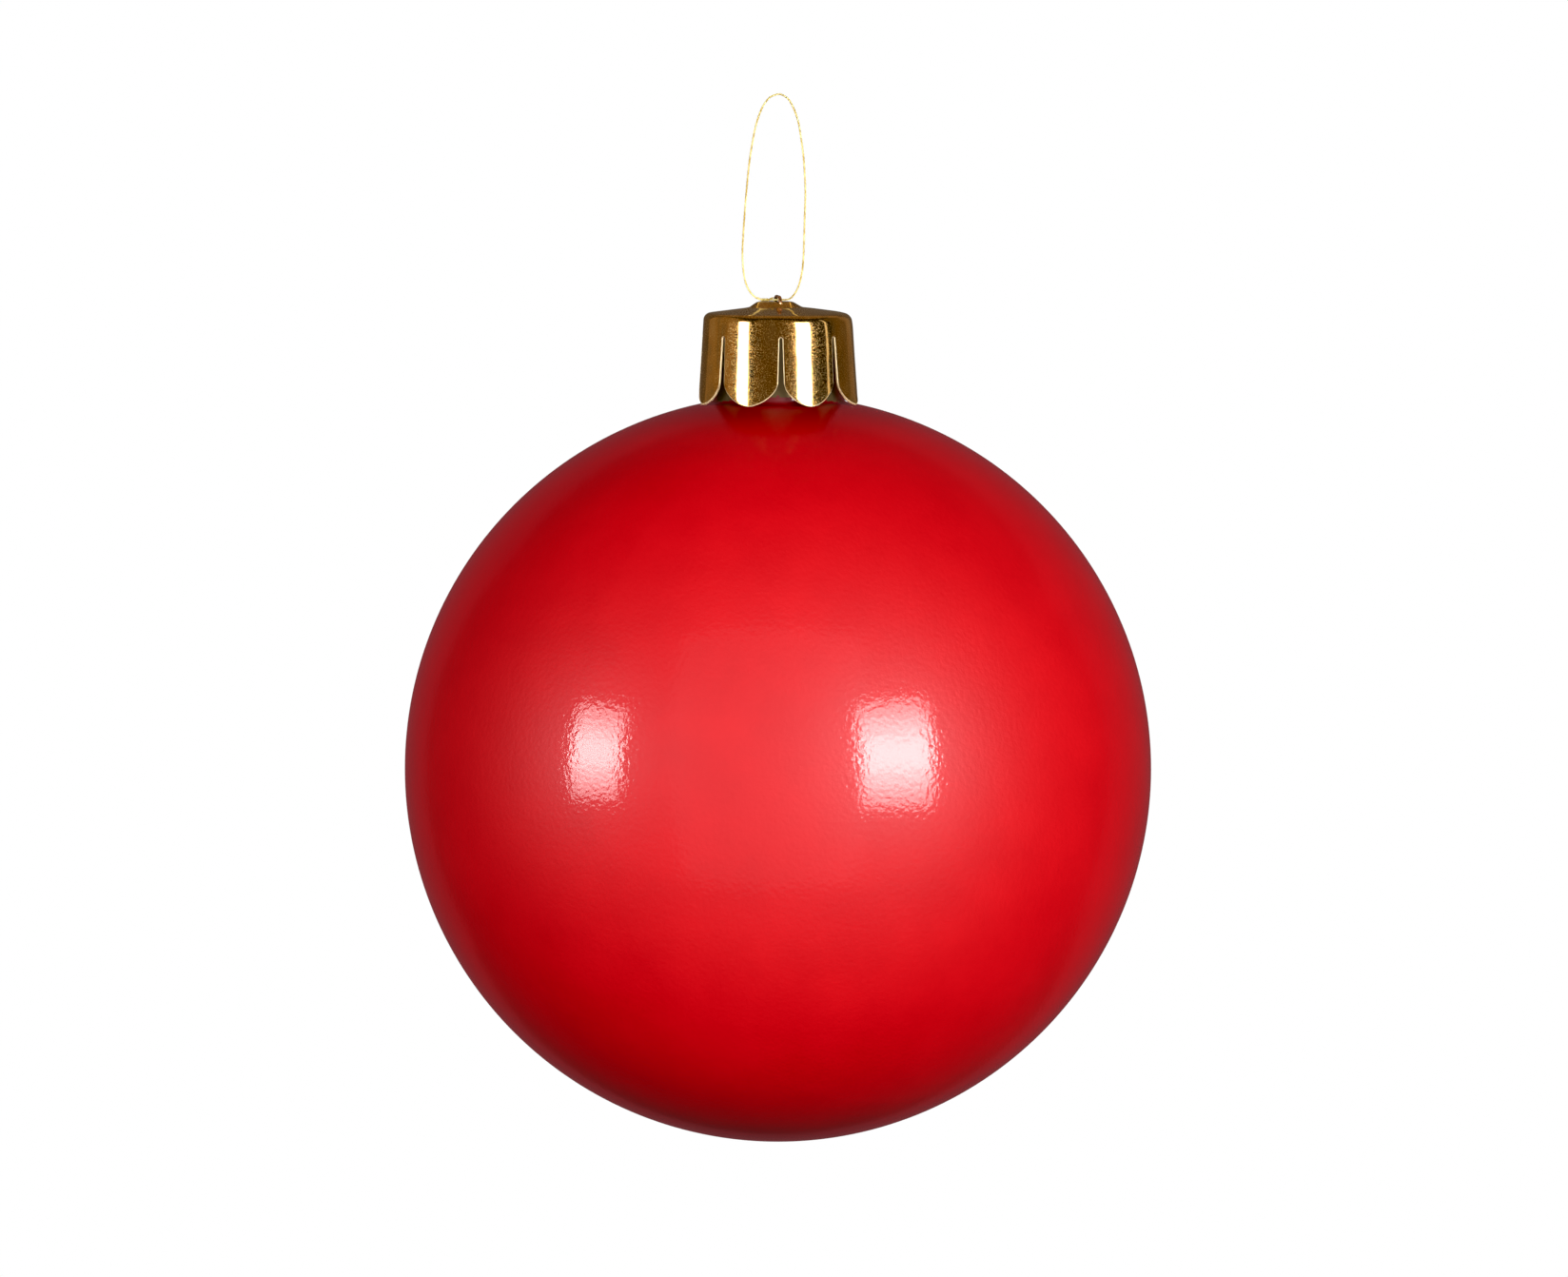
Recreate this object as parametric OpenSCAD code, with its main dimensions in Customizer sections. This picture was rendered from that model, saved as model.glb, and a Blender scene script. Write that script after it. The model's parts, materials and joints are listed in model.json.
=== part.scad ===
// Glass ball ornament: a blown glass ball with an open neck, a stamped cap whose skirt is slit
// into petals, a spring wire bail that holds the cap on, and a loop of thread to hang it by.
// Millimetres, +Z up. The origin is the top of the thread loop, where a branch or a hook holds it.
// The ball's axis is the Z axis, and the bail's eye lies across the thread.

/* [Ball] */
// Outside diameter of the glass ball
ball_d = 120; // [110:1:130]
// Thickness of the blown glass
glass_wall = 0.8; // [0.6:0.1:1]
// Outside diameter of the open neck
neck_d = 21; // [20:0.5:21.5]
// Radius of the curve between the ball and its neck
neck_fillet = 1; // [0.8:0.1:1.2]

/* [Cap] */
// Thickness of the cap's sheet metal
sheet = 0.4; // [0.3:0.05:0.45]
// Height of the cap from its petal tips to its crown
cap_h = 16.2; // [15.8:0.1:16.6]
// Number of petals round the skirt
petals = 8; // [8:1:8]
// Height of a slit's end above the petal tips
slit_h = 11.1; // [9:0.1:11.5]
// Height of a petal's round end
lobe_h = 3.8; // [3.4:0.1:4.4]
// How far the front slit is turned from the middle, in degrees
petal_turn = 2.4; // [0:0.1:5]

/* [Bail] */
// Diameter of the spring wire
wire_d = 0.55; // [0.5:0.05:0.7]
// Half the width of the bail's eye
eye_half = 2.6; // [2.4:0.1:2.6]
// How far the bail is turned from square across the thread, in degrees
bail_turn = 9; // [0:1:12]

/* [Thread] */
// Diameter of the hanging thread
thread_d = 0.3; // [0.25:0.05:0.3]
// Height of the loop from the eye to its top
loop_h = 33; // [33:1:33]

/* [Hidden] */
$fn = 96;

ball_r = ball_d / 2;
neck_r = neck_d / 2;
wire_r = wire_d / 2;
thread_r = thread_d / 2;

// The middle of the cap's sheet as [radius, height above the tips], and the radius of each corner:
// crown edge, boss foot, shoulder, start of the flare, petal tip.
sheet_corners = [[0, cap_h], [2.77, cap_h], [4.2, cap_h - 0.9], [11.72, cap_h - 1.9], [12.48, 1.6],
    [13.1, 0]];
corner_radii = [0, 1.3, 1.5, 1, 5, 0];

// Heights above the ball's centre. The petal tips stand just clear of the glass.
tip_clear = 0.15;
tip_inner_r = sheet_corners[5].x - sheet / 2;
tip_z = sqrt(pow(ball_r, 2) - pow(tip_inner_r, 2)) + tip_clear;
crown_z = tip_z + cap_h + sheet / 2;
thread_over_crown = 0.13;
eye_z = crown_z + thread_over_crown + thread_r;
wire_over_thread = 0.03;
wire_top_z = eye_z + thread_r + wire_over_thread + wire_r;
crown_to_neck = 1.9;
neck_top_z = tip_z + cap_h - crown_to_neck;

// The ball's centre lies this far below the origin
ball_drop = eye_z + loop_h;

// One leg of the bail as [out from the middle, height above the ball's centre]: eye, hole in the
// cap, bend inside the cap, neck wall, foot under the neck
leg_clear = 0.45;
leg_out = neck_r - glass_wall - leg_clear - wire_r;
foot_out = leg_out + 1.1;
leg_corners = [[0, wire_top_z], [eye_half, wire_top_z], [eye_half, tip_z + 11.4], [leg_out, tip_z + 2.8],
    [leg_out, tip_z + 0.2], [foot_out, tip_z - 2.2]];
leg_bends = [0, 1.1, 2, 2, 1, 0];
wire_hole_r = 0.6;

// Half widths of a slit at its end and where the petals' round ends begin, and half the width of a
// round end, whose power is 1 for a straight-sided point and 2 for an ellipse
slit_top_half = 0.24;
lobe_gap_half = 0.45;
lobe_half = 4.45;
lobe_power = 1.65;
lobe_steps = 12;

// The band that holds the skirt, for cutting the slits: its inner radius and its depth
skirt_inside = 9;
skirt_depth = 6;

// Knot: its two ends along the thread, and its radius
knot_from_x = -2.85;
knot_to_x = -1.45;
knot_r = 0.25;

// The thread's route: out of the knot, through the eye, up one side of the loop, over its top and
// down the other side, back into the knot
loop_route = [[-1.9, 0, -33], [-1.0, 0, -33], [0, 0, -33], [1.0, 0, -33], [1.8, 0, -32.9], [2.4, 0, -32.4],
    [3.0, 0, -31.5], [3.5, 0, -30.2], [3.9, 0.1, -28.3], [4.1, 0.1, -26], [4.2, 0.2, -23], [4.3, 0.2, -19.5],
    [4.4, 0.2, -16], [4.3, 0.2, -13], [4.1, 0.1, -10], [3.7, 0.1, -7], [3.3, 0, -4.6], [2.7, 0, -2.7],
    [1.9, 0, -1.1], [1.2, 0, -0.4], [0.3, 0, 0], [-0.7, 0, -0.2], [-1.5, 0, -0.7], [-2.5, 0, -2.1],
    [-3.4, 0, -4.5], [-4.0, -0.1, -7.2], [-4.6, -0.2, -11], [-5.1, -0.3, -16], [-5.4, -0.3, -20],
    [-5.6, -0.3, -23], [-5.7, -0.3, -25.5], [-5.6, -0.2, -27.8], [-5.3, -0.1, -29.8], [-4.8, 0, -31.2],
    [-4.1, 0, -32.2], [-3.3, 0, -32.8], [-2.6, 0, -33]];
rings_per_step = 2;

// Moves a shape that is drawn about the ball's centre to its place under the origin.
module about_ball() {
    translate([0, 0, -ball_drop]) children();
}

// The points of a line of corners, each one rounded to its radius by an arc.
function unit(v) = v / norm(v);
function corner_arc(a, b, c, r, steps) =
    let (u = unit(a - b), v = unit(c - b), half = acos(u * v) / 2, centre = b + unit(u + v) * r / sin(half),
        from = b + u * r / tan(half) - centre, side = sign(u.x * v.y - u.y * v.x), turn = 180 - 2 * half)
    [for (i = [0:steps]) let (t = side * -turn * i / steps)
        centre + [from.x * cos(t) - from.y * sin(t), from.x * sin(t) + from.y * cos(t)]];
function rounded(corners, radii, steps = 6) =
    [for (i = [0:len(corners) - 1]) each radii[i] == 0 ? [corners[i]]
        : corner_arc(corners[i - 1], corners[i], corners[i + 1], radii[i], steps)];

// A line of points given a thickness, as an outline.
function normal_at(p, i) =
    let (d = unit(p[min(i + 1, len(p) - 1)] - p[max(i - 1, 0)])) i == 0 ? [0, 1] : [-d.y, d.x];
module thick_line(p, t) {
    last = len(p) - 1;
    polygon(concat([for (i = [0:last]) p[i] + normal_at(p, i) * t / 2],
        [for (i = [last:-1:0]) p[i] - normal_at(p, i) * t / 2]));
}

// Half section of the ball grown or shrunk by its wall, with its neck up to top_z.
module ball_section(r, neck, fillet, top_z) {
    centre = [neck + fillet, sqrt(pow(r + fillet, 2) - pow(neck + fillet, 2))];
    meets = centre * r / (r + fillet);
    intersection() {
        circle(r = r, $fn = 180);
        translate([0, -r]) square([r, 2 * r]);
    }
    difference() {
        polygon([[0, meets.y], meets, centre, [0, centre.y]]);
        translate(centre) circle(r = fillet);
    }
    translate([0, meets.y]) square([neck, top_z - meets.y]);
}

// Blown glass: one even wall round the ball and up the neck, with a fire-polished rim.
module glass_ball() {
    rim_z = neck_top_z - glass_wall / 2;
    color("crimson") about_ball() rotate_extrude($fn = 180) {
        difference() {
            ball_section(ball_r, neck_r, neck_fillet, rim_z);
            ball_section(ball_r - glass_wall, neck_r - glass_wall, neck_fillet + glass_wall, rim_z + 1);
        }
        translate([neck_r - glass_wall / 2, rim_z]) circle(r = glass_wall / 2, $fn = 32);
    }
}

// The right half of the space between two round ends, from the slit down to the petal tips.
function lobe_edge() = [for (i = [0:lobe_steps]) let (t = 90 * (1 - i / lobe_steps))
    [lobe_half + lobe_gap_half - lobe_half * pow(sin(t), 2 / lobe_power),
        lobe_h * (1 - pow(cos(t), 2 / lobe_power))]];

// The outline cut away between two petals: a slit, and below it the space between two round ends.
module slit_outline() {
    half = concat([[slit_top_half, slit_h]], lobe_edge(), [[lobe_half + lobe_gap_half, -1]]);
    last = len(half) - 1;
    polygon(concat(half, [for (i = [last:-1:0]) [-half[i].x, half[i].y]]));
}

// Stamped sheet: crown, boss, shallow cone, shoulder and a skirt of petals, with the bail's holes.
module cap() {
    color("goldenrod") about_ball() translate([0, 0, tip_z]) difference() {
        rotate_extrude() thick_line(rounded(sheet_corners, corner_radii), sheet);
        for (i = [0:petals - 1]) rotate([0, 0, petal_turn + i * 360 / petals])
            translate([0, -skirt_inside, 0]) rotate([90, 0, 0]) linear_extrude(height = skirt_depth)
                slit_outline();
        rotate([0, 0, bail_turn]) for (side = [-1, 1]) translate([0, side * eye_half, cap_h - 2])
            cylinder(r = wire_hole_r, h = 4, $fn = 32);
    }
}

// A smooth curve through the route's points.
function curve_point(p, i, t) =
    let (last = len(p) - 1, a = p[max(i - 1, 0)], b = p[i], c = p[i + 1], d = p[min(i + 2, last)])
    0.5 * (2 * b + (c - a) * t + (2 * a - 5 * b + 4 * c - d) * t * t + (3 * b - 3 * c + d - a) * t * t * t);
function smooth(p, n) =
    concat([for (i = [0:len(p) - 2]) for (k = [0:n - 1]) curve_point(p, i, k / n)], [p[len(p) - 1]]);

// A round tube along a line of points that stays near the XZ plane.
module tube(p, r, sides) {
    last = len(p) - 1;
    rings = [for (i = [0:last]) let (along = unit(p[min(i + 1, last)] - p[max(i - 1, 0)]),
        across = unit(cross([0, 1, 0], along)), up = cross(along, across))
        for (k = [0:sides - 1]) p[i] + r * (across * cos(k * 360 / sides) + up * sin(k * 360 / sides))];
    walls = [for (i = [0:last - 1]) for (k = [0:sides - 1])
        let (n = (k + 1) % sides, a = i * sides) [a + k, a + n, a + n + sides, a + k + sides]];
    foot = [for (k = [sides - 1:-1:0]) k];
    end = [for (k = [0:sides - 1]) last * sides + k];
    polyhedron(rings, concat([foot], walls, [end]));
}

// Spring wire: the eye over the thread, and two legs down through the neck to their feet.
module bail() {
    leg = rounded(leg_corners, leg_bends, 5);
    last = len(leg) - 1;
    wire = concat([for (i = [last:-1:1]) [-leg[i].x, 0, leg[i].y]], [for (q = leg) [q.x, 0, q.y]]);
    color("silver") about_ball() rotate([0, 0, 90 + bail_turn]) tube(wire, wire_r, 16);
}

// The thread, from inside the knot round the loop and back.
module hanging_loop() {
    color("khaki") tube(smooth(loop_route, rings_per_step), thread_r, 8);
}

// The knot that joins the thread's ends, drawn as its outer shape.
module knot() {
    color("gold") translate([knot_from_x + knot_r, 0, -loop_h]) rotate([0, 90, 0]) {
        cylinder(r = knot_r, h = knot_to_x - knot_from_x - 2 * knot_r, $fn = 24);
        sphere(r = knot_r, $fn = 24);
        translate([0, 0, knot_to_x - knot_from_x - 2 * knot_r]) sphere(r = knot_r, $fn = 24);
    }
}

glass_ball();
cap();
bail();
hanging_loop();
knot();
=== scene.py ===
"""Glass ball ornament: a red lacquered glass ball, a gold petal cap, its wire bail and a thread loop.

Every length is in metres unless its name ends in _MM. The origin is the top of the thread loop,
+Z is up, and the ball's axis is the Z axis.
"""
import json
import math

import bmesh
import bpy
from mathutils import Euler, Matrix, Vector

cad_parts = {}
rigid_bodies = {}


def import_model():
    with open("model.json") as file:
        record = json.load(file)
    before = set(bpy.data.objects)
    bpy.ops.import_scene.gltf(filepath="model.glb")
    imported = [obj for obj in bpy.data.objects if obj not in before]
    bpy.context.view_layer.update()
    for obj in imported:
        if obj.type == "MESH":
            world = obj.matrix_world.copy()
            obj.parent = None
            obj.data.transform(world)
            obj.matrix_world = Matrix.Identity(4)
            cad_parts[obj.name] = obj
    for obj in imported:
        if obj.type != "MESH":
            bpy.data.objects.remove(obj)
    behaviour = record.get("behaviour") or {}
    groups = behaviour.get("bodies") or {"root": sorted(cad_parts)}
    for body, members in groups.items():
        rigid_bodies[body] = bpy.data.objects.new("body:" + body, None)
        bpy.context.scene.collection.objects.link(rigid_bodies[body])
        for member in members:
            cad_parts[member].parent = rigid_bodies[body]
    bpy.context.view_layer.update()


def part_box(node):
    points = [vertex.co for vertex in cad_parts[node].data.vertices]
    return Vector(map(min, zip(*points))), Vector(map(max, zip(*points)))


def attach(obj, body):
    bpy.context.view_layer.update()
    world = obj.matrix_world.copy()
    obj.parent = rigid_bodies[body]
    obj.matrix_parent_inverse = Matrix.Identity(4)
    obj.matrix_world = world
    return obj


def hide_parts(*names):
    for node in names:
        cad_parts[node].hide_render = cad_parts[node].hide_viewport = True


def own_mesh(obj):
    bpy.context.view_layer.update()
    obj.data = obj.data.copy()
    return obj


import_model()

# ---------------------------------------------------------------------------------------------
# Camera. A long lens, a little above level, so that the ball's outline is a true circle.
# The view is about 25 cm wide, and a small black point keeps the shadows deep.
# ---------------------------------------------------------------------------------------------
MM = 0.001
ball_low, ball_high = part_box("glass_ball")
BALL_R = round((ball_high[0] - ball_low[0]) / 2 / MM) * MM
BALL_CENTRE = Vector((0.0, 0.0, ball_low[2] + BALL_R))

CAMERA_RISE = math.radians(3.5)
CAMERA_FAR = 3.0
VIEW_WIDTH = 252.15 * MM
VIEW_OFFSET = (0.97 * MM, 20.9 * MM)
SENSOR = 36.0
BLACK_POINT = 0.01

view_turn = Euler((math.radians(90) - CAMERA_RISE, 0, 0))
view_right = Vector((1, 0, 0))
view_up = view_turn.to_matrix() @ Vector((0, 1, 0))
view_back = view_turn.to_matrix() @ Vector((0, 0, 1))

lens = bpy.data.cameras.new("camera")
lens.sensor_width = SENSOR
lens.lens = SENSOR * CAMERA_FAR / VIEW_WIDTH
lens.clip_start = 0.1
lens.clip_end = 50.0
camera = bpy.data.objects.new("camera", lens)
camera.rotation_euler = view_turn
camera.location = (BALL_CENTRE + view_right * VIEW_OFFSET[0] + view_up * VIEW_OFFSET[1]
                   + view_back * CAMERA_FAR)
bpy.context.collection.objects.link(camera)
bpy.context.scene.camera = camera
view = bpy.context.scene.view_settings
view.view_transform = "Standard"
view.use_curve_mapping = True
view.curve_mapping.black_level = (BLACK_POINT, BLACK_POINT, BLACK_POINT)

# ---------------------------------------------------------------------------------------------
# Hanging loop. Gold metallic thread of three plies twisted together, 0.3 mm thick, knotted into
# a loop through the bail's eye. It is springy enough to stand open in a long oval.
# ---------------------------------------------------------------------------------------------
THREAD_D = 0.3 * MM
PLIES = 3
PLY_R = 0.08 * MM
PLY_OUT = THREAD_D / 2 - PLY_R
TWIST_PITCH = 1.8 * MM
LOOP_ROUTE_MM = [
    (-1.9, 0, -33), (-1.0, 0, -33), (0, 0, -33), (1.0, 0, -33), (1.8, 0, -32.9), (2.4, 0, -32.4),
    (3.0, 0, -31.5), (3.5, 0, -30.2), (3.9, 0.1, -28.3), (4.1, 0.1, -26), (4.2, 0.2, -23),
    (4.3, 0.2, -19.5), (4.4, 0.2, -16), (4.3, 0.2, -13), (4.1, 0.1, -10), (3.7, 0.1, -7),
    (3.3, 0, -4.6), (2.7, 0, -2.7), (1.9, 0, -1.1), (1.2, 0, -0.4), (0.3, 0, 0), (-0.7, 0, -0.2),
    (-1.5, 0, -0.7), (-2.5, 0, -2.1), (-3.4, 0, -4.5), (-4.0, -0.1, -7.2), (-4.6, -0.2, -11),
    (-5.1, -0.3, -16), (-5.4, -0.3, -20), (-5.6, -0.3, -23), (-5.7, -0.3, -25.5),
    (-5.6, -0.2, -27.8), (-5.3, -0.1, -29.8), (-4.8, 0, -31.2), (-4.1, 0, -32.2),
    (-3.3, 0, -32.8), (-2.6, 0, -33)]


def smooth_line(points, step):
    """A smooth curve through the points, cut into pieces about step long."""
    line = []
    last = len(points) - 1
    for i in range(last):
        a, b = points[max(i - 1, 0)], points[i]
        c, d = points[i + 1], points[min(i + 2, last)]
        count = max(2, round((c - b).length / step))
        for k in range(count):
            t = k / count
            line.append(0.5 * (2 * b + (c - a) * t + (2 * a - 5 * b + 4 * c - d) * t * t
                               + (3 * b - 3 * c + d - a) * t * t * t))
    return line + [points[last]]


def only(piece):
    """Makes one object the selected and active one."""
    for other in bpy.context.view_layer.objects:
        other.select_set(False)
    piece.select_set(True)
    bpy.context.view_layer.objects.active = piece


def wire_from(name, line, radius, sides):
    """A closed round wire along a line, as a mesh."""
    curve = bpy.data.curves.new(name, "CURVE")
    curve.dimensions = "3D"
    curve.bevel_depth = radius
    curve.bevel_resolution = max(0, sides // 2 - 2)
    curve.use_fill_caps = True
    spline = curve.splines.new("POLY")
    spline.points.add(len(line) - 1)
    for point, place in zip(spline.points, line):
        point.co = (*place, 1)
    piece = bpy.data.objects.new(name, curve)
    bpy.context.collection.objects.link(piece)
    only(piece)
    bpy.ops.object.convert(target="MESH")
    return bpy.context.view_layer.objects.active


def joined(pieces, name):
    """Several mesh objects as one."""
    only(pieces[0])
    for piece in pieces:
        piece.select_set(True)
    bpy.ops.object.join()
    pieces[0].name = name
    return pieces[0]


def plies_round(line, radius_out, count, pitch, phase=0.0):
    """The lines of the plies that wind round a middle line."""
    plies = [[] for _ in range(count)]
    along = 0.0
    for i, place in enumerate(line):
        ahead = (line[min(i + 1, len(line) - 1)] - line[max(i - 1, 0)]).normalized()
        across = Vector((0, 1, 0)).cross(ahead).normalized()
        up = ahead.cross(across)
        for k in range(count):
            turn = phase + 2 * math.pi * (along / pitch + k / count)
            plies[k].append(place + radius_out * (math.cos(turn) * across + math.sin(turn) * up))
        if i + 1 < len(line):
            along += (line[i + 1] - place).length
    return plies


route = [Vector(p) * MM for p in LOOP_ROUTE_MM]
loop_line = smooth_line(route, 0.13 * MM)
plies = [wire_from(f"ply_{k}", line, PLY_R, 8)
         for k, line in enumerate(plies_round(loop_line, PLY_OUT, PLIES, TWIST_PITCH))]
hanging_thread = joined(plies, "hanging_thread")


def linear(hex_colour, alpha=1.0):
    """An sRGB hex colour as linear red, green, blue and alpha."""
    parts = [int(hex_colour[i:i + 2], 16) / 255 for i in (1, 3, 5)]
    return tuple(p / 12.92 if p <= 0.04045 else ((p + 0.055) / 1.055) ** 2.4 for p in parts) + (alpha,)


def add(nodes, kind, links=(), **settings):
    """Adds one node. Settings are node properties, or inputs when the name is one; links are
    (output socket, input name) pairs."""
    node = nodes.new(kind)
    for name, value in settings.items():
        if hasattr(node, name):
            setattr(node, name, value)
    for name, value in settings.items():
        if not hasattr(node, name):
            node.inputs[name.replace("_", " ")].default_value = value
    for socket, name in links:
        nodes.id_data.links.new(socket, node.inputs[name])
    return node


def new_material(name):
    """An empty node material, its nodes and its output node."""
    material = bpy.data.materials.new(name)
    material.use_nodes = True
    nodes = material.node_tree.nodes
    nodes.clear()
    return material, nodes, add(nodes, "ShaderNodeOutputMaterial")


def gold_thread_material():
    """Metallised polyester thread: thin gold foil strips twisted tight, its gold varying at random, with
    near white patches painted in as glints.
    """
    material, nodes, out = new_material("metallised_gold_thread")
    place = add(nodes, "ShaderNodeTexCoord")
    foil_and_glint = add(nodes, "ShaderNodeTexNoise", [(place.outputs["Object"], "Vector")], Scale=900.0, Detail=4.0)
    # Painted glints: the noise turns random patches of the gold near white.
    tone = add(nodes, "ShaderNodeValToRGB", [(foil_and_glint.outputs["Fac"], "Fac")])
    tone.color_ramp.elements[0].position = 0.35
    tone.color_ramp.elements[0].color = linear("#C9A93F")
    tone.color_ramp.elements[1].position = 0.65
    tone.color_ramp.elements[1].color = linear("#FFF2A8")
    bump = add(nodes, "ShaderNodeBump", [(foil_and_glint.outputs["Fac"], "Height")], Strength=0.5, Distance=0.00002)
    shade = add(nodes, "ShaderNodeBsdfPrincipled",
                [(tone.outputs["Color"], "Base Color"), (bump.outputs["Normal"], "Normal")],
                Metallic=0.3, Roughness=0.35)
    nodes.id_data.links.new(shade.outputs["BSDF"], out.inputs["Surface"])
    return material


thread_finish = gold_thread_material()
hanging_thread.data.materials.clear()
hanging_thread.data.materials.append(thread_finish)
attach(hanging_thread, "thread")
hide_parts("hanging_loop")

# ---------------------------------------------------------------------------------------------
# Knot. The thread's two ends wound five times round the loop beside the eye and pulled tight,
# with two short cut ends. Same thread, drawn a little thinner where it is pulled hard.
# ---------------------------------------------------------------------------------------------
KNOT_FROM_X = -2.8 * MM
KNOT_TO_X = -1.5 * MM
KNOT_TURNS = 5
KNOT_WRAP_R = 0.15 * MM
KNOT_THREAD_R = 0.11 * MM
EYE_Z = route[2].z

wrap = []
for i in range(KNOT_TURNS * 24 + 1):
    share = i / (KNOT_TURNS * 24)
    turn = 2 * math.pi * KNOT_TURNS * share
    wrap.append(Vector((KNOT_FROM_X + (KNOT_TO_X - KNOT_FROM_X) * share,
                        KNOT_WRAP_R * math.cos(turn), EYE_Z + KNOT_WRAP_R * math.sin(turn))))
tails = [
    smooth_line([wrap[-1]] + [Vector((x * MM, y * MM, EYE_Z + z * MM)) for x, y, z in
                 ((-1.25, 0.16, 0.16), (-0.95, 0.05, 0.27), (-0.7, -0.1, 0.33))], 0.08 * MM),
    smooth_line([wrap[0], wrap[0] + Vector((-0.2, -0.1, 0.17)) * MM,
                 wrap[0] + Vector((-0.5, -0.4, 0.38)) * MM], 0.08 * MM)]
knot_strands = [wire_from("knot_wrap", wrap, KNOT_THREAD_R, 10)]
knot_strands += [wire_from(f"knot_tail_{k}", line, KNOT_THREAD_R, 10) for k, line in enumerate(tails)]
thread_knot = joined(knot_strands, "thread_knot")
thread_knot.data.materials.clear()
thread_knot.data.materials.append(thread_finish)
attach(thread_knot, "thread")
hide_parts("knot")

# ---------------------------------------------------------------------------------------------
# Glass ball. Blown soda-lime glass about 0.8 mm thick with an open fire-polished neck, silvered
# inside and dipped in clear red lacquer outside down to the neck, which stays bare.
# ---------------------------------------------------------------------------------------------
NECK_R = 10.5 * MM
NECK_TOP = ball_high[2]
GLASS_WALL = 0.8 * MM
NECK_FILLET = 1.0 * MM
BALL_SEGMENTS = 256
BALL_RINGS = 128
NECK_ROWS = 40

bpy.ops.object.select_all(action="DESELECT")
bpy.ops.mesh.primitive_uv_sphere_add(segments=BALL_SEGMENTS, ring_count=BALL_RINGS, radius=BALL_R,
                                     location=BALL_CENTRE)
glass = bpy.context.active_object
glass.name = "blown_glass_ball"
bpy.ops.object.transform_apply(location=True, rotation=True, scale=True)


def edge_loop_out(piece, radius, height):
    """Extrudes the open top loop and sets the new loop to a radius and height about the axis."""
    bpy.ops.mesh.extrude_region_move()
    mesh = bmesh.from_edit_mesh(piece.data)
    for vert in mesh.verts:
        if vert.select:
            flat = Vector((vert.co.x, vert.co.y)).normalized() * radius
            vert.co = (flat.x, flat.y, height)
    bmesh.update_edit_mesh(piece.data)


fillet_mid = Vector((NECK_R + NECK_FILLET,
                     math.sqrt((BALL_R + NECK_FILLET) ** 2 - (NECK_R + NECK_FILLET) ** 2)))
fillet_start = math.atan2(-fillet_mid.y, -fillet_mid.x)
fillet_end = -math.pi
only(glass)
bpy.ops.object.mode_set(mode="EDIT")
bpy.ops.mesh.select_all(action="SELECT")
cut_height = BALL_CENTRE.z + fillet_mid.y * BALL_R / (BALL_R + NECK_FILLET)
bpy.ops.mesh.bisect(plane_co=(0, 0, cut_height), plane_no=(0, 0, 1), clear_outer=True)
bpy.ops.mesh.select_all(action="DESELECT")
bpy.ops.mesh.select_mode(type="EDGE")
bpy.ops.mesh.select_non_manifold()
for step in range(1, 7):
    turn = fillet_start + (fillet_end - fillet_start) * step / 6
    edge_loop_out(glass, fillet_mid.x + NECK_FILLET * math.cos(turn),
                  BALL_CENTRE.z + fillet_mid.y + NECK_FILLET * math.sin(turn))
neck_foot = BALL_CENTRE.z + fillet_mid.y
for step in range(1, NECK_ROWS + 1):
    edge_loop_out(glass, NECK_R, neck_foot + (NECK_TOP - neck_foot) * step / NECK_ROWS)
bpy.ops.object.mode_set(mode="OBJECT")
wall = glass.modifiers.new("wall", "SOLIDIFY")
wall.thickness = GLASS_WALL
wall.offset = -1
wall.use_even_offset = True
wall.material_offset = 1
wall.material_offset_rim = 1
bpy.ops.object.modifier_apply(modifier="wall")
rim = glass.modifiers.new("rim", "BEVEL")
rim.limit_method = "ANGLE"
rim.angle_limit = math.radians(50)
rim.width = 0.3 * MM
rim.segments = 4
bpy.ops.object.modifier_apply(modifier="rim")
bpy.ops.object.shade_smooth_by_angle(angle=math.radians(40))


# Painted shade where the cap shades the ball: on the upper half the lacquer's colour is mixed towards
# a near black red, most at the neck's foot and less out to the reach from the axis. The depths are shares of
# that colour.
LACQUER_RED = "#D50513"
LACQUER_DEEP = "#CC0311"
LACQUER_PAINTED_SHADE = "#3A0004"
SHADE_NECK = 11.4 * MM
SHADE_NECK_DEPTH = 0.78
SHADE_CORE = 12.2 * MM
SHADE_REACH = 27.0 * MM
SHADE_DEPTH = 0.42
SATIN_ROUGHNESS = 0.5
SKIN_ROUGHNESS = 0.08
PEBBLE_SIZE = 0.75 * MM
PEBBLE_DEPTH = 0.036 * MM


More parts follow.
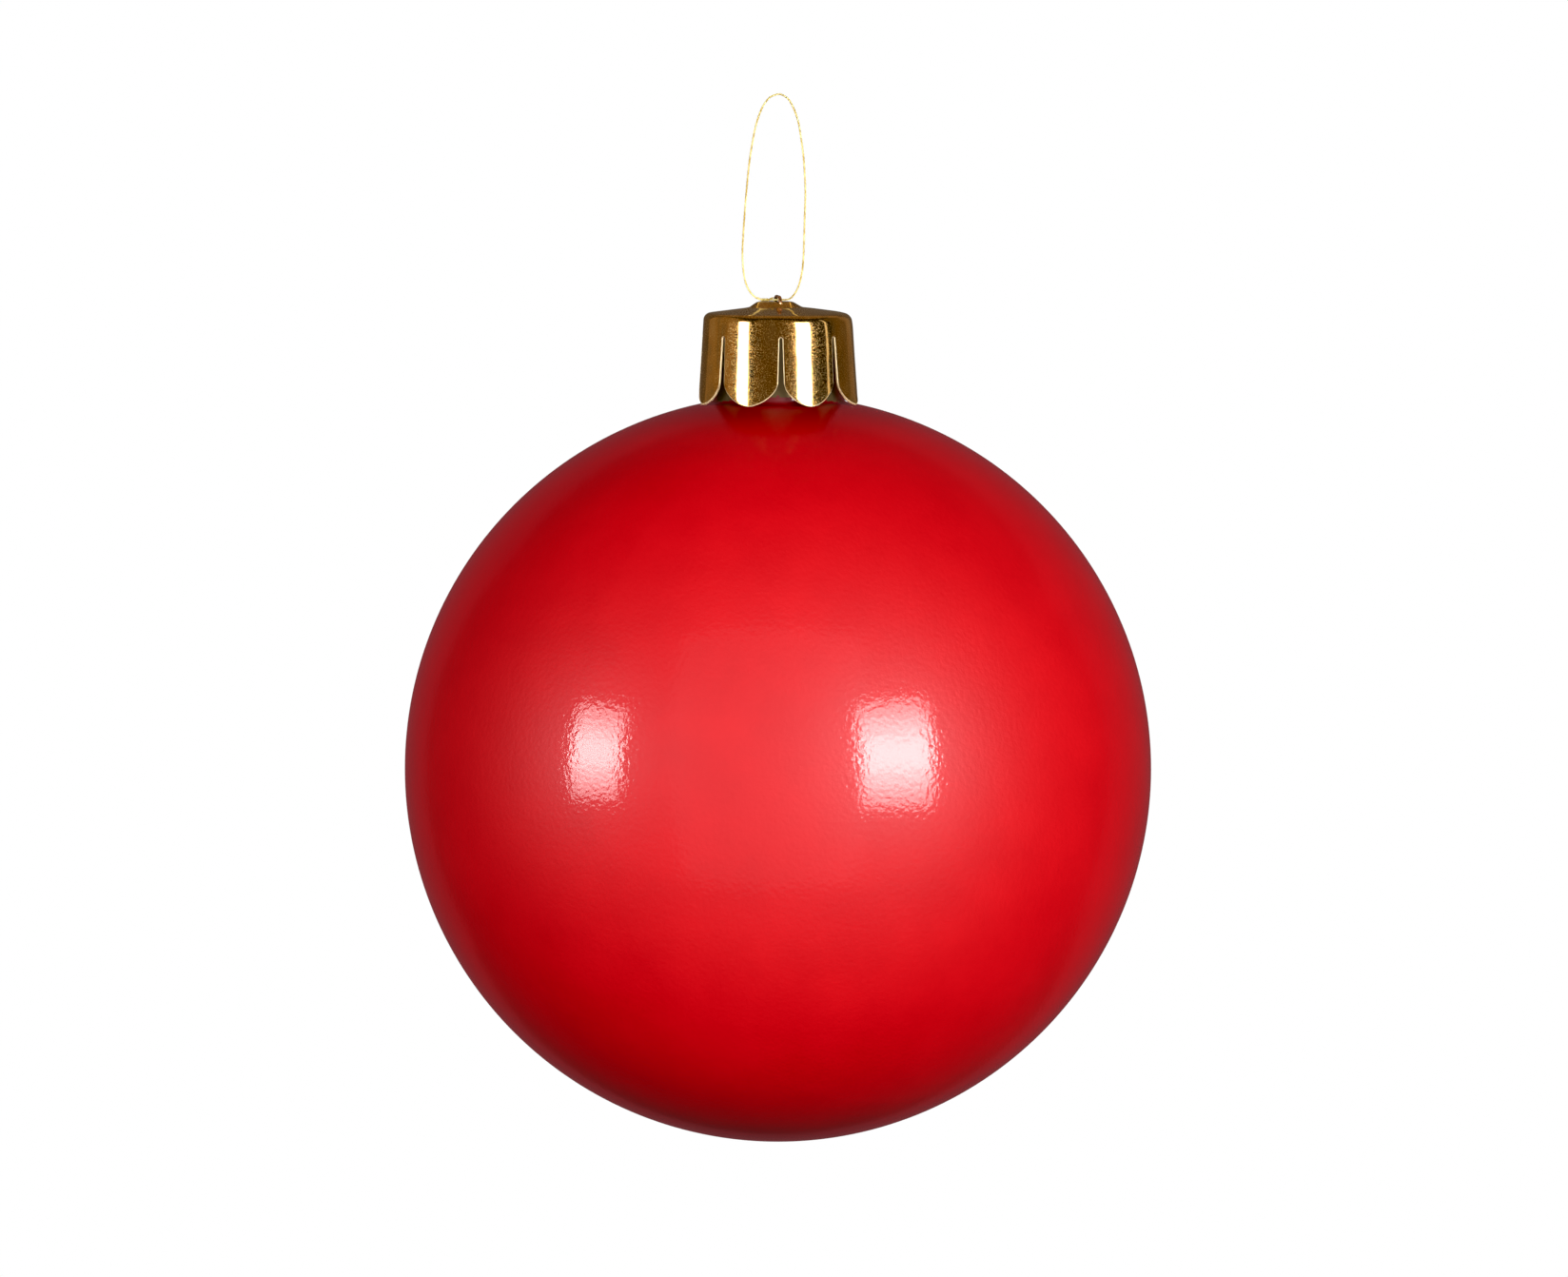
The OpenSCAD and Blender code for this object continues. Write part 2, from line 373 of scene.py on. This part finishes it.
def red_lacquer_material():
    """Clear red lacquer over silvered glass: a broad satin glow from the metal under it, and a
    wet-looking skin on top with the faint pebble of a dipped coat, and painted shade round the neck."""
    material, nodes, out = new_material("red_lacquer_over_silvered_glass")
    place = add(nodes, "ShaderNodeTexCoord")
    cloud = add(nodes, "ShaderNodeTexNoise", [(place.outputs["Object"], "Vector")],
                Scale=90.0, Detail=4.0, Roughness=0.6)
    tone = add(nodes, "ShaderNodeValToRGB", [(cloud.outputs["Fac"], "Fac")])
    tone.color_ramp.elements[0].position = 0.3
    tone.color_ramp.elements[0].color = linear(LACQUER_DEEP)
    tone.color_ramp.elements[1].position = 0.7
    tone.color_ramp.elements[1].color = linear(LACQUER_RED)
    # Painted shade: this share darkens the lacquer towards the neck's foot on the upper half, standing in
    # for the cap's shadow.
    axis_gap = add(nodes, "ShaderNodeVectorMath", [(place.outputs["Object"], 0)], operation="MULTIPLY")
    axis_gap.inputs[1].default_value = (1.0, 1.0, 0.0)
    from_axis = add(nodes, "ShaderNodeVectorMath", [(axis_gap.outputs["Vector"], 0)], operation="LENGTH")
    above = add(nodes, "ShaderNodeSeparateXYZ", [(place.outputs["Object"], "Vector")])
    upper = add(nodes, "ShaderNodeMath", [(above.outputs["Z"], 0)], operation="GREATER_THAN")
    upper.inputs[1].default_value = BALL_CENTRE.z
    reach = add(nodes, "ShaderNodeMapRange", [(from_axis.outputs["Value"], "Value")])
    reach.inputs["From Max"].default_value = SHADE_REACH
    painted_shade_ramp = add(nodes, "ShaderNodeValToRGB", [(reach.outputs["Result"], "Fac")])
    painted_shade_ramp.color_ramp.interpolation = "EASE"
    painted_shade_ramp.color_ramp.elements[0].position = SHADE_NECK / SHADE_REACH
    painted_shade_ramp.color_ramp.elements[0].color = (SHADE_NECK_DEPTH, SHADE_NECK_DEPTH, SHADE_NECK_DEPTH, 1)
    painted_shade_ramp.color_ramp.elements[1].position = 1.0
    painted_shade_ramp.color_ramp.elements[1].color = (0, 0, 0, 1)
    shoulder = painted_shade_ramp.color_ramp.elements.new(SHADE_CORE / SHADE_REACH)
    shoulder.color = (SHADE_DEPTH, SHADE_DEPTH, SHADE_DEPTH, 1)
    painted_shade = add(nodes, "ShaderNodeMath", [(painted_shade_ramp.outputs["Color"], 0), (upper.outputs["Value"], 1)],
               operation="MULTIPLY")
    lacquer = add(nodes, "ShaderNodeMix", data_type="RGBA")
    nodes.id_data.links.new(painted_shade.outputs["Value"], lacquer.inputs["Factor"])
    nodes.id_data.links.new(tone.outputs["Color"], lacquer.inputs["A"])
    lacquer.inputs["B"].default_value = linear(LACQUER_PAINTED_SHADE)
    pebble = add(nodes, "ShaderNodeTexNoise", [(place.outputs["Object"], "Vector")],
                 Scale=1 / PEBBLE_SIZE, Detail=2.0, Roughness=0.5)
    skin = add(nodes, "ShaderNodeBump", [(pebble.outputs["Fac"], "Height")],
               Strength=1.0, Distance=PEBBLE_DEPTH)
    satin = add(nodes, "ShaderNodeMapRange", [(cloud.outputs["Fac"], "Value")])
    satin.inputs["To Min"].default_value = SATIN_ROUGHNESS - 0.03
    satin.inputs["To Max"].default_value = SATIN_ROUGHNESS + 0.03
    shade = add(nodes, "ShaderNodeBsdfPrincipled",
                [(lacquer.outputs["Result"], "Base Color"), (satin.outputs["Result"], "Roughness"),
                 (skin.outputs["Normal"], "Normal"), (skin.outputs["Normal"], "Coat Normal")],
                Coat_Weight=1.0, Coat_Roughness=SKIN_ROUGHNESS, Coat_IOR=1.5)
    nodes.id_data.links.new(shade.outputs["BSDF"], out.inputs["Surface"])
    return material


def silvering_material():
    """Silver deposited on the glass from inside, seen on the bare neck: straw grey, a little cloudy."""
    material, nodes, out = new_material("silvered_glass")
    place = add(nodes, "ShaderNodeTexCoord")
    cloud = add(nodes, "ShaderNodeTexNoise", [(place.outputs["Object"], "Vector")], Scale=400.0, Detail=4.0)
    rough = add(nodes, "ShaderNodeMapRange", [(cloud.outputs["Fac"], "Value")])
    rough.inputs["To Min"].default_value = 0.12
    rough.inputs["To Max"].default_value = 0.32
    shade = add(nodes, "ShaderNodeBsdfPrincipled", [(rough.outputs["Result"], "Roughness")],
                Base_Color=linear("#8F7A55"), Metallic=0.7, Coat_Weight=0.15, Coat_Roughness=0.05)
    nodes.id_data.links.new(shade.outputs["BSDF"], out.inputs["Surface"])
    return material


# The lacquer's lower limit on the neck, which stands highest at the front.
DIP_LOW = BALL_CENTRE.z + 58.9 * MM
DIP_RISE = 1.5 * MM

glass.data.materials.clear()
glass.data.materials.append(red_lacquer_material())
glass.data.materials.append(silvering_material())
for face in glass.data.polygons:
    around = math.hypot(face.center.x, face.center.y)
    dip_line = DIP_LOW + DIP_RISE * max(0.0, -face.center.y / around) ** 2
    outwards = (Vector(face.center) - BALL_CENTRE).length > BALL_R - GLASS_WALL / 4
    face.material_index = 0 if outwards and face.center.z < dip_line else 1
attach(glass, "ball")
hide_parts("glass_ball")

# ---------------------------------------------------------------------------------------------
# Cap. One stamping of 0.4 mm tinplate under clear gold lacquer: a crown with two small holes, a
# shallow cone, a rounded shoulder, and a skirt slit into eight petals whose tips flare out.
# ---------------------------------------------------------------------------------------------
SHEET = 0.4 * MM
CAP_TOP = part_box("cap")[1][2]
CAP_HEIGHT = 16.2 * MM
TIP_Z = CAP_TOP - SHEET / 2 - CAP_HEIGHT
PETALS = 8
PETAL_COLUMNS = 16
SLIT_TURNS = [math.radians(a) for a in (-47.0, 2.3, 46.4, 92.5, 137.5, 182.5, 227.5, 271.5)]
LOBE_H = 3.8 * MM
LOBE_POWER = 1.65
SLIT_TOP = 11.1 * MM
SLIT_TOP_HALF = 0.24 * MM
LOBE_GAP_HALF = 0.45 * MM
SHEET_CORNERS_MM = [(2.77, 16.2, 1.3), (4.2, 15.3, 1.5), (11.72, 14.3, 1.0), (12.48, 1.6, 5.0)]
BAIL_TURN = math.radians(9)
EYE_HALF = 2.6 * MM
HOLE_R = 0.6 * MM
# How hand pressing left it: each petal's lean and its tip's flare, a boss off centre, one
# side of the shoulder pressed in, and a skirt that is not quite round below its stiff crown.
PETAL_LEAN_MM = [0.02, -0.02, 0.10, 0.05, -0.03, 0.06, 0.04, 0.10]
PETAL_FLARE_MM = [0.06, 0.08, 0.45, 0.3, 0.2, 0.3, 0.25, 0.45]
FLARE_FROM = 1.8 * MM
BOSS_SHIFT = 0.5 * MM
BOSS_REACH = 5.5 * MM
BOSS_FLATNESS = 4
SOFT_SHOULDER = 0.14 * MM
OUT_OF_ROUND = 0.24 * MM
CROWN_STIFFNESS = 4
SHOULDER_AT = Vector((11.6 * MM, 14.2 * MM))
SHOULDER_REACH = 1.1 * MM


def rounded_line(start, corners, end, steps):
    """A line through corners (x, y, radius), each rounded by an arc."""
    points = [Vector(start)]
    places = [Vector(start)] + [Vector(c[:2]) for c in corners] + [Vector(end)]
    for a, b, c, corner in zip(places, places[1:], places[2:], corners):
        u, v = (a - b).normalized(), (c - b).normalized()
        half = math.acos(u.dot(v)) / 2
        middle = b + (u + v).normalized() * corner[2] / math.sin(half)
        arm = b + u * corner[2] / math.tan(half) - middle
        side = 1 if u.x * v.y - u.y * v.x > 0 else -1
        for k in range(steps + 1):
            turn = -side * (math.pi - 2 * half) * k / steps
            points.append(middle + Matrix.Rotation(turn, 2) @ arm)
    return points + [Vector(end)]


def fill_in(points, gap):
    """The same line with points no further apart than gap."""
    line = []
    for a, b in zip(points, points[1:]):
        count = max(1, math.ceil((b - a).length / gap))
        line += [a.lerp(b, k / count) for k in range(count)]
    return line + [points[-1]]


sheet_line = fill_in(rounded_line((0.35, 16.2), SHEET_CORNERS_MM, (12.62, 0), 8), 0.6)


def radius_at(height):
    """The skirt's middle radius at a height above the tips."""
    for a, b in zip(sheet_line, sheet_line[1:]):
        if b.y * MM <= height <= a.y * MM and b.x > 11:
            share = (a.y * MM - height) / max((a.y - b.y) * MM, 1e-9)
            return (a.x + (b.x - a.x) * share) * MM
    return sheet_line[-1].x * MM


# Rows down a petal: height where the petal is whole, the gap at its side, and how far the row has
# come from the round end's top (0) to its edge (1).
SLIT_END = 0.16 * MM
SLIT_ROWS = 16
LOBE_ROWS = 7
WHOLE_FROM = SLIT_TOP + 0.1 * MM
top_line = [p * MM for p in sheet_line if p.y * MM > WHOLE_FROM]
rows = [(p.y, 0.0, 0.0) for p in top_line]
rows.append((SLIT_TOP, 0.0, 0.0))
for k in range(SLIT_ROWS + 1):
    share = k / SLIT_ROWS
    height = SLIT_TOP - SLIT_END - (SLIT_TOP - SLIT_END - LOBE_H) * share
    rows.append((height, SLIT_TOP_HALF + (LOBE_GAP_HALF - SLIT_TOP_HALF) * share, 0.0))
rows += [(LOBE_H, LOBE_GAP_HALF, k / LOBE_ROWS) for k in range(1, LOBE_ROWS + 1)]

bpy.ops.object.select_all(action="DESELECT")
bpy.ops.mesh.primitive_grid_add(x_subdivisions=PETAL_COLUMNS, y_subdivisions=len(rows) - 1, size=1)
petal = bpy.context.active_object
column_at = sorted({round(v.co.x, 5) for v in petal.data.vertices})
# The columns crowd towards the petal's sides, where its round end curves most.
COLUMN_CROWDING = 1.25
across = []
for column in range(PETAL_COLUMNS + 1):
    t = 2 * column / PETAL_COLUMNS - 1
    across.append(math.copysign(1 - (1 - abs(t)) ** COLUMN_CROWDING, t))
row_at = sorted({round(v.co.y, 5) for v in petal.data.vertices}, reverse=True)
places = [(column_at.index(round(v.co.x, 5)), row_at.index(round(v.co.y, 5))) for v in petal.data.vertices]

petals = []
for number in range(PETALS):
    one = petal if number == 0 else petal.copy()
    if number:
        one.data = petal.data.copy()
        bpy.context.collection.objects.link(one)
    start = SLIT_TURNS[number]
    pitch = (SLIT_TURNS[(number + 1) % PETALS] - start) % (2 * math.pi)
    middle = start - math.pi / 2 + pitch / 2
    for vert, (column, row) in zip(one.data.vertices, places):
        height, gap, share = rows[row]
        side = across[column]
        height -= share * LOBE_H * (1 - abs(side) ** LOBE_POWER) ** (1 / LOBE_POWER)
        radius = top_line[row].x if row < len(top_line) else radius_at(height)
        turn = middle + (pitch / 2 - gap / radius) * side
        reach = radius + PETAL_LEAN_MM[number] * MM * max(0.0, 1 - height / SLIT_TOP) ** 2
        reach += PETAL_FLARE_MM[number] * MM * max(0.0, 1 - height / FLARE_FROM) ** 2
        reach -= OUT_OF_ROUND * math.sin(2 * turn) * (radius / radius_at(0)) ** CROWN_STIFFNESS
        near = math.exp(-((Vector((radius, height)) - SHOULDER_AT).length / SHOULDER_REACH) ** 2)
        dent = SOFT_SHOULDER * near * max(0.0, math.cos(turn))
        shift = BOSS_SHIFT * max(0.0, 1 - (radius / BOSS_REACH) ** BOSS_FLATNESS)
        vert.co = ((reach - dent) * math.cos(turn) - shift, (reach - dent) * math.sin(turn),
                   TIP_Z + height - dent)
    petals.append(one)
cap = joined(petals, "stamped_petal_cap")
only(cap)
bpy.ops.object.mode_set(mode="EDIT")
bpy.ops.mesh.select_all(action="SELECT")
bpy.ops.mesh.remove_doubles(threshold=0.005 * MM)
bpy.ops.mesh.select_all(action="DESELECT")
bpy.ops.mesh.select_mode(type="EDGE")
bpy.ops.mesh.select_non_manifold()
mesh = bmesh.from_edit_mesh(cap.data)
crown_from = TIP_Z + SLIT_TOP + 1 * MM
for edge in mesh.edges:
    high = all(v.co.z > crown_from for v in edge.verts)
    edge.select_set(edge.select and high)
bmesh.update_edit_mesh(cap.data)
bpy.ops.mesh.edge_face_add()
bpy.ops.mesh.select_all(action="SELECT")
bpy.ops.mesh.normals_make_consistent(inside=False)
bpy.ops.object.mode_set(mode="OBJECT")
def gold_lacquer_material():
    """Transparent gold lacquer on bright tinplate: a mirror with a soft glow round every highlight
    from the sheet's fine grain, and dull patches where fingers and the stamping rubbed it."""
    material, nodes, out = new_material("gold_lacquered_tinplate")
    place = add(nodes, "ShaderNodeTexCoord")
    smear_place = add(nodes, "ShaderNodeMapping", [(place.outputs["Object"], "Vector")])
    smear_place.inputs["Scale"].default_value = (1.0, 1.0, 0.4)
    smear = add(nodes, "ShaderNodeTexNoise", [(smear_place.outputs["Vector"], "Vector")],
                Scale=380.0, Detail=4.0, Roughness=0.55)
    tone = add(nodes, "ShaderNodeValToRGB", [(smear.outputs["Fac"], "Fac")])
    tone.color_ramp.elements[0].position = 0.24
    tone.color_ramp.elements[0].color = linear("#A79065")
    tone.color_ramp.elements[1].position = 0.7
    tone.color_ramp.elements[1].color = linear("#E4BA78")
    middle = tone.color_ramp.elements.new(0.48)
    middle.color = linear("#D6A55E")
    grain = add(nodes, "ShaderNodeTexNoise", [(place.outputs["Object"], "Vector")], Scale=8000.0, Detail=2.0)
    rough = add(nodes, "ShaderNodeMapRange", [(grain.outputs["Fac"], "Value")])
    rough.inputs["From Min"].default_value = 0.52
    rough.inputs["From Max"].default_value = 0.66
    rough.inputs["To Min"].default_value = 0.07
    rough.inputs["To Max"].default_value = 0.34
    wave = add(nodes, "ShaderNodeTexNoise", [(place.outputs["Object"], "Vector")], Scale=260.0, Detail=1.0)
    bump = add(nodes, "ShaderNodeBump", [(wave.outputs["Fac"], "Height")], Strength=1.0, Distance=0.00003)
    shade = add(nodes, "ShaderNodeBsdfPrincipled",
                [(tone.outputs["Color"], "Base Color"), (rough.outputs["Result"], "Roughness"),
                 (bump.outputs["Normal"], "Normal")],
                Metallic=1.0)
    nodes.id_data.links.new(shade.outputs["BSDF"], out.inputs["Surface"])
    return material


def cut_edge_material():
    """The sheet's sheared edges, which the lacquer leaves bare: pale, matt lines of light."""
    material, nodes, out = new_material("sheared_tinplate_edge")
    place = add(nodes, "ShaderNodeTexCoord")
    burr = add(nodes, "ShaderNodeTexNoise", [(place.outputs["Object"], "Vector")], Scale=3000.0, Detail=2.0)
    rough = add(nodes, "ShaderNodeMapRange", [(burr.outputs["Fac"], "Value")])
    rough.inputs["To Min"].default_value = 0.3
    rough.inputs["To Max"].default_value = 0.5
    shade = add(nodes, "ShaderNodeBsdfPrincipled", [(rough.outputs["Result"], "Roughness")],
                Base_Color=linear("#F4DDAC"), Metallic=0.25)
    nodes.id_data.links.new(shade.outputs["BSDF"], out.inputs["Surface"])
    return material


def bare_tinplate_material():
    """The cap's inside: the bare sheet, dull and straw-coloured from the lacquer's overspray."""
    material, nodes, out = new_material("bare_tinplate")
    place = add(nodes, "ShaderNodeTexCoord")
    grain = add(nodes, "ShaderNodeTexNoise", [(place.outputs["Object"], "Vector")], Scale=900.0, Detail=3.0)
    rough = add(nodes, "ShaderNodeMapRange", [(grain.outputs["Fac"], "Value")])
    rough.inputs["To Min"].default_value = 0.25
    rough.inputs["To Max"].default_value = 0.45
    shade = add(nodes, "ShaderNodeBsdfPrincipled", [(rough.outputs["Result"], "Roughness")],
                Base_Color=linear("#A48550"), Metallic=1.0)
    nodes.id_data.links.new(shade.outputs["BSDF"], out.inputs["Surface"])
    return material


# The sheet's first side faces the inside of the cap, and thickening adds the side that shows.
for finish in (bare_tinplate_material(), gold_lacquer_material(), cut_edge_material()):
    cap.data.materials.append(finish)
thickness = cap.modifiers.new("sheet", "SOLIDIFY")
thickness.thickness = SHEET
thickness.offset = 0
thickness.use_even_offset = True
thickness.material_offset = 1
thickness.material_offset_rim = 2
bpy.ops.object.modifier_apply(modifier="sheet")

# The shear rounds the cut edges, so each one catches the light as a pale line.
edge = cap.modifiers.new("edge", "BEVEL")
edge.limit_method = "ANGLE"
edge.angle_limit = math.radians(50)
edge.width = 0.13 * MM
edge.use_clamp_overlap = False
edge.segments = 3
edge.material = 2
bpy.ops.object.modifier_apply(modifier="edge")

for side in (-1, 1):
    place = Matrix.Rotation(BAIL_TURN, 3, "Z") @ Vector((0, side * EYE_HALF, CAP_TOP))
    bpy.ops.object.select_all(action="DESELECT")
    bpy.ops.mesh.primitive_cylinder_add(vertices=32, radius=HOLE_R, depth=5 * HOLE_R, location=place)
    punch = bpy.context.active_object
    only(cap)
    hole = cap.modifiers.new("hole", "BOOLEAN")
    hole.operation = "DIFFERENCE"
    hole.object = punch
    bpy.ops.object.modifier_apply(modifier="hole")
    bpy.data.objects.remove(punch)

bpy.ops.object.shade_smooth_by_angle(angle=math.radians(35))
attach(cap, "cap")
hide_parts("cap")

# ---------------------------------------------------------------------------------------------
# Bail. One length of 0.55 mm bright spring wire: a low square eye over the thread, two legs down
# through the cap's holes that splay to the neck's wall, and feet that hook under the neck.
# ---------------------------------------------------------------------------------------------
WIRE_R = 0.275 * MM
WIRE_OVER_THREAD = 0.03 * MM
WIRE_TOP_MM = (EYE_Z + THREAD_D / 2 + WIRE_OVER_THREAD + WIRE_R - BALL_CENTRE.z) / MM
TIP_MM = (TIP_Z - BALL_CENTRE.z) / MM
LEG_OUT_MM = 8.97
FOOT_OUT_MM = 10.07
EYE_HALF_MM = EYE_HALF / MM
# One leg's bends: out from the middle, height above the ball's centre, and radius.
LEG_CORNERS_MM = [(EYE_HALF_MM, WIRE_TOP_MM, 1.1), (EYE_HALF_MM, TIP_MM + 11.4, 2.0),
                  (LEG_OUT_MM, TIP_MM + 2.8, 2.0), (LEG_OUT_MM, TIP_MM + 0.2, 1.0)]

leg = rounded_line((0, WIRE_TOP_MM), LEG_CORNERS_MM, (FOOT_OUT_MM, TIP_MM - 2.2), 8)
flat_wire = [Vector((-p.x, p.y)) for p in reversed(leg[1:])] + leg
turn_up = Matrix.Rotation(math.radians(90) + BAIL_TURN, 3, "Z")
wire_line = [turn_up @ Vector((p.x, 0, p.y)) * MM + BALL_CENTRE for p in flat_wire]
bail = wire_from("spring_wire_bail", wire_line, WIRE_R, 20)
only(bail)
ends = bail.modifiers.new("ends", "BEVEL")
ends.limit_method = "ANGLE"
ends.angle_limit = math.radians(60)
ends.width = 0.12 * MM
ends.segments = 3
bpy.ops.object.modifier_apply(modifier="ends")
bpy.ops.object.shade_smooth_by_angle(angle=math.radians(40))


def spring_wire_material():
    """Copper-washed spring steel wire: warm and bright, its tone and gloss varying in fine patches."""
    material, nodes, out = new_material("copper_washed_spring_wire")
    place = add(nodes, "ShaderNodeTexCoord")
    wear = add(nodes, "ShaderNodeTexNoise", [(place.outputs["Object"], "Vector")], Scale=1500.0, Detail=4.0)
    tone = add(nodes, "ShaderNodeValToRGB", [(wear.outputs["Fac"], "Fac")])
    tone.color_ramp.elements[0].color = linear("#D98A55")
    tone.color_ramp.elements[1].color = linear("#FFCB9A")
    rough = add(nodes, "ShaderNodeMapRange", [(wear.outputs["Fac"], "Value")])
    rough.inputs["To Min"].default_value = 0.15
    rough.inputs["To Max"].default_value = 0.35
    shade = add(nodes, "ShaderNodeBsdfPrincipled",
                [(tone.outputs["Color"], "Base Color"), (rough.outputs["Result"], "Roughness")],
                Metallic=1.0)
    nodes.id_data.links.new(shade.outputs["BSDF"], out.inputs["Surface"])
    return material


bail.data.materials.clear()
bail.data.materials.append(spring_wire_material())
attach(bail, "hanger")
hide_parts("bail")
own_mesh(bail)

# ---------------------------------------------------------------------------------------------
# Studio. A pale floor well below the hanging ball, two upright softboxes in front, brighter across
# their middles, a broad diffuser for the glass, and dim warm cards round the metal pieces. Each
# lamp is given by its direction and its width and height in degrees, and its radiance.
# ---------------------------------------------------------------------------------------------
LAMP_FAR = 1.3
FLOOR_DROP = 0.35
ROOM_GLOW = 0.04
SOFTBOXES = [
    ("left", -56.8, 4.6, 16.5, 24.0, 14.5),
    ("right", 36.2, 4.4, 22.5, 29.5, 17.0),
]
SOFTBOX_STEPS = [(1.0, 0.4), (0.66, 0.3), (0.33, 0.3)]
FRONT_RADIANCE = 0.92
FRONT_ANGLE = 100.0
SHEEN_RADIANCE = 0.2
WARM_ROOM = (1.0, 0.68, 0.36)
METAL_REFLECTORS = [
    ("left_wall", -101.0, 0.0, 62.0, 100.0, 0.27),
    ("front_wall", -5.0, 0.0, 70.0, 100.0, 0.11),
    ("right_wall", 120.0, 0.0, 62.0, 100.0, 0.13),
    ("back_wall", 180.0, 22.0, 100.0, 50.0, 0.1),
    ("ceiling", 180.0, 72.0, 60.0, 60.0, 0.22),
]


def direction(azimuth, elevation):
    """Unit vector from the ball towards a place given in degrees from the camera's direction."""
    a, e = math.radians(azimuth), math.radians(elevation)
    return (view_back * math.cos(a) * math.cos(e) + view_right * math.sin(a) * math.cos(e)
            + view_up * math.sin(e))


def panel(name, azimuth, elevation, wide_deg, high_deg, radiance, far=LAMP_FAR):
    """A soft rectangular lamp that faces the ball and fills the given angles."""
    lamp = bpy.data.lights.new(name, "AREA")
    lamp.shape = "RECTANGLE"
    lamp.size = 2 * far * math.tan(math.radians(wide_deg / 2))
    lamp.size_y = 2 * far * math.tan(math.radians(high_deg / 2))
    lamp.energy = radiance * math.pi * lamp.size * lamp.size_y
    holder = bpy.data.objects.new(name, lamp)
    back = direction(azimuth, elevation)
    holder.location = BALL_CENTRE + back * far
    holder.rotation_euler = back.to_track_quat("Z", "Y").to_euler()
    holder.visible_camera = False
    bpy.context.collection.objects.link(holder)
    return holder


for name, azimuth, elevation, wide_deg, high_deg, radiance in SOFTBOXES:
    for step, (height_share, light_share) in enumerate(SOFTBOX_STEPS):
        panel(f"softbox_{name}_{step}", azimuth, elevation, wide_deg, high_deg * height_share,
              radiance * light_share, LAMP_FAR - 0.01 * step)

front = panel("front_diffuser", 9.0, 1.0, FRONT_ANGLE, FRONT_ANGLE, FRONT_RADIANCE)
front.visible_glossy = False
lit_by_front = bpy.data.collections.new("lit_by_front")
lit_by_front.objects.link(glass)
front.light_linking.receiver_collection = lit_by_front
sheen = panel("front_sheen", -2.0, 4.0, 62.0, 80.0, SHEEN_RADIANCE)
sheen.light_linking.receiver_collection = lit_by_front
rim_glow = panel("rim_glow", 172.0, 8.0, 100.0, 70.0, 0.15)
rim_glow.data.color = (1.0, 0.1, 0.14)
rim_glow.light_linking.receiver_collection = lit_by_front
metal_pieces = bpy.data.collections.new("metal_pieces")
for piece in (hanging_thread, thread_knot, cap, bail):
    metal_pieces.objects.link(piece)
for name, azimuth, elevation, wide_deg, high_deg, radiance in METAL_REFLECTORS:
    reflector = panel(name, azimuth, elevation, wide_deg, high_deg, radiance)
    reflector.data.color = WARM_ROOM
    reflector.light_linking.receiver_collection = metal_pieces
strip = panel("edge_strip", 78.0, 0.0, 4.0, 80.0, 1.3)
strip.light_linking.receiver_collection = metal_pieces
thin_pieces = bpy.data.collections.new("thin_pieces")
for piece in (hanging_thread, thread_knot, bail):
    thin_pieces.objects.link(piece)
glint = panel("eye_light", 4.0, 16.0, 16.0, 16.0, 12.0)
glint.light_linking.receiver_collection = thin_pieces
# The glass shows no mirror image of the cap.
cap.visible_glossy = False

bpy.ops.object.select_all(action="DESELECT")
bpy.ops.mesh.primitive_plane_add(size=60, location=(0, 0, ball_low[2] - FLOOR_DROP))
floor = bpy.context.active_object
floor.name = "pale_floor"
floor_finish, nodes, out = new_material("pale_floor")
glow = add(nodes, "ShaderNodeEmission", Color=linear("#FFFFFF"), Strength=1.0)
nodes.id_data.links.new(glow.outputs["Emission"], out.inputs["Surface"])
floor.data.materials.append(floor_finish)
floor.visible_glossy = False
floor.visible_diffuse = False
floor.visible_transmission = False

world = bpy.data.worlds.new("studio")
world.use_nodes = True
bpy.context.scene.world = world
nodes = world.node_tree.nodes
nodes.clear()
path = add(nodes, "ShaderNodeLightPath")
dim = add(nodes, "ShaderNodeBackground", Color=(1, 1, 1, 1), Strength=ROOM_GLOW)
white = add(nodes, "ShaderNodeBackground", Color=(1, 1, 1, 1), Strength=1.0)
both = add(nodes, "ShaderNodeMixShader")
world.node_tree.links.new(path.outputs["Is Camera Ray"], both.inputs[0])
world.node_tree.links.new(dim.outputs[0], both.inputs[1])
world.node_tree.links.new(white.outputs[0], both.inputs[2])
out = add(nodes, "ShaderNodeOutputWorld")
world.node_tree.links.new(both.outputs[0], out.inputs["Surface"])
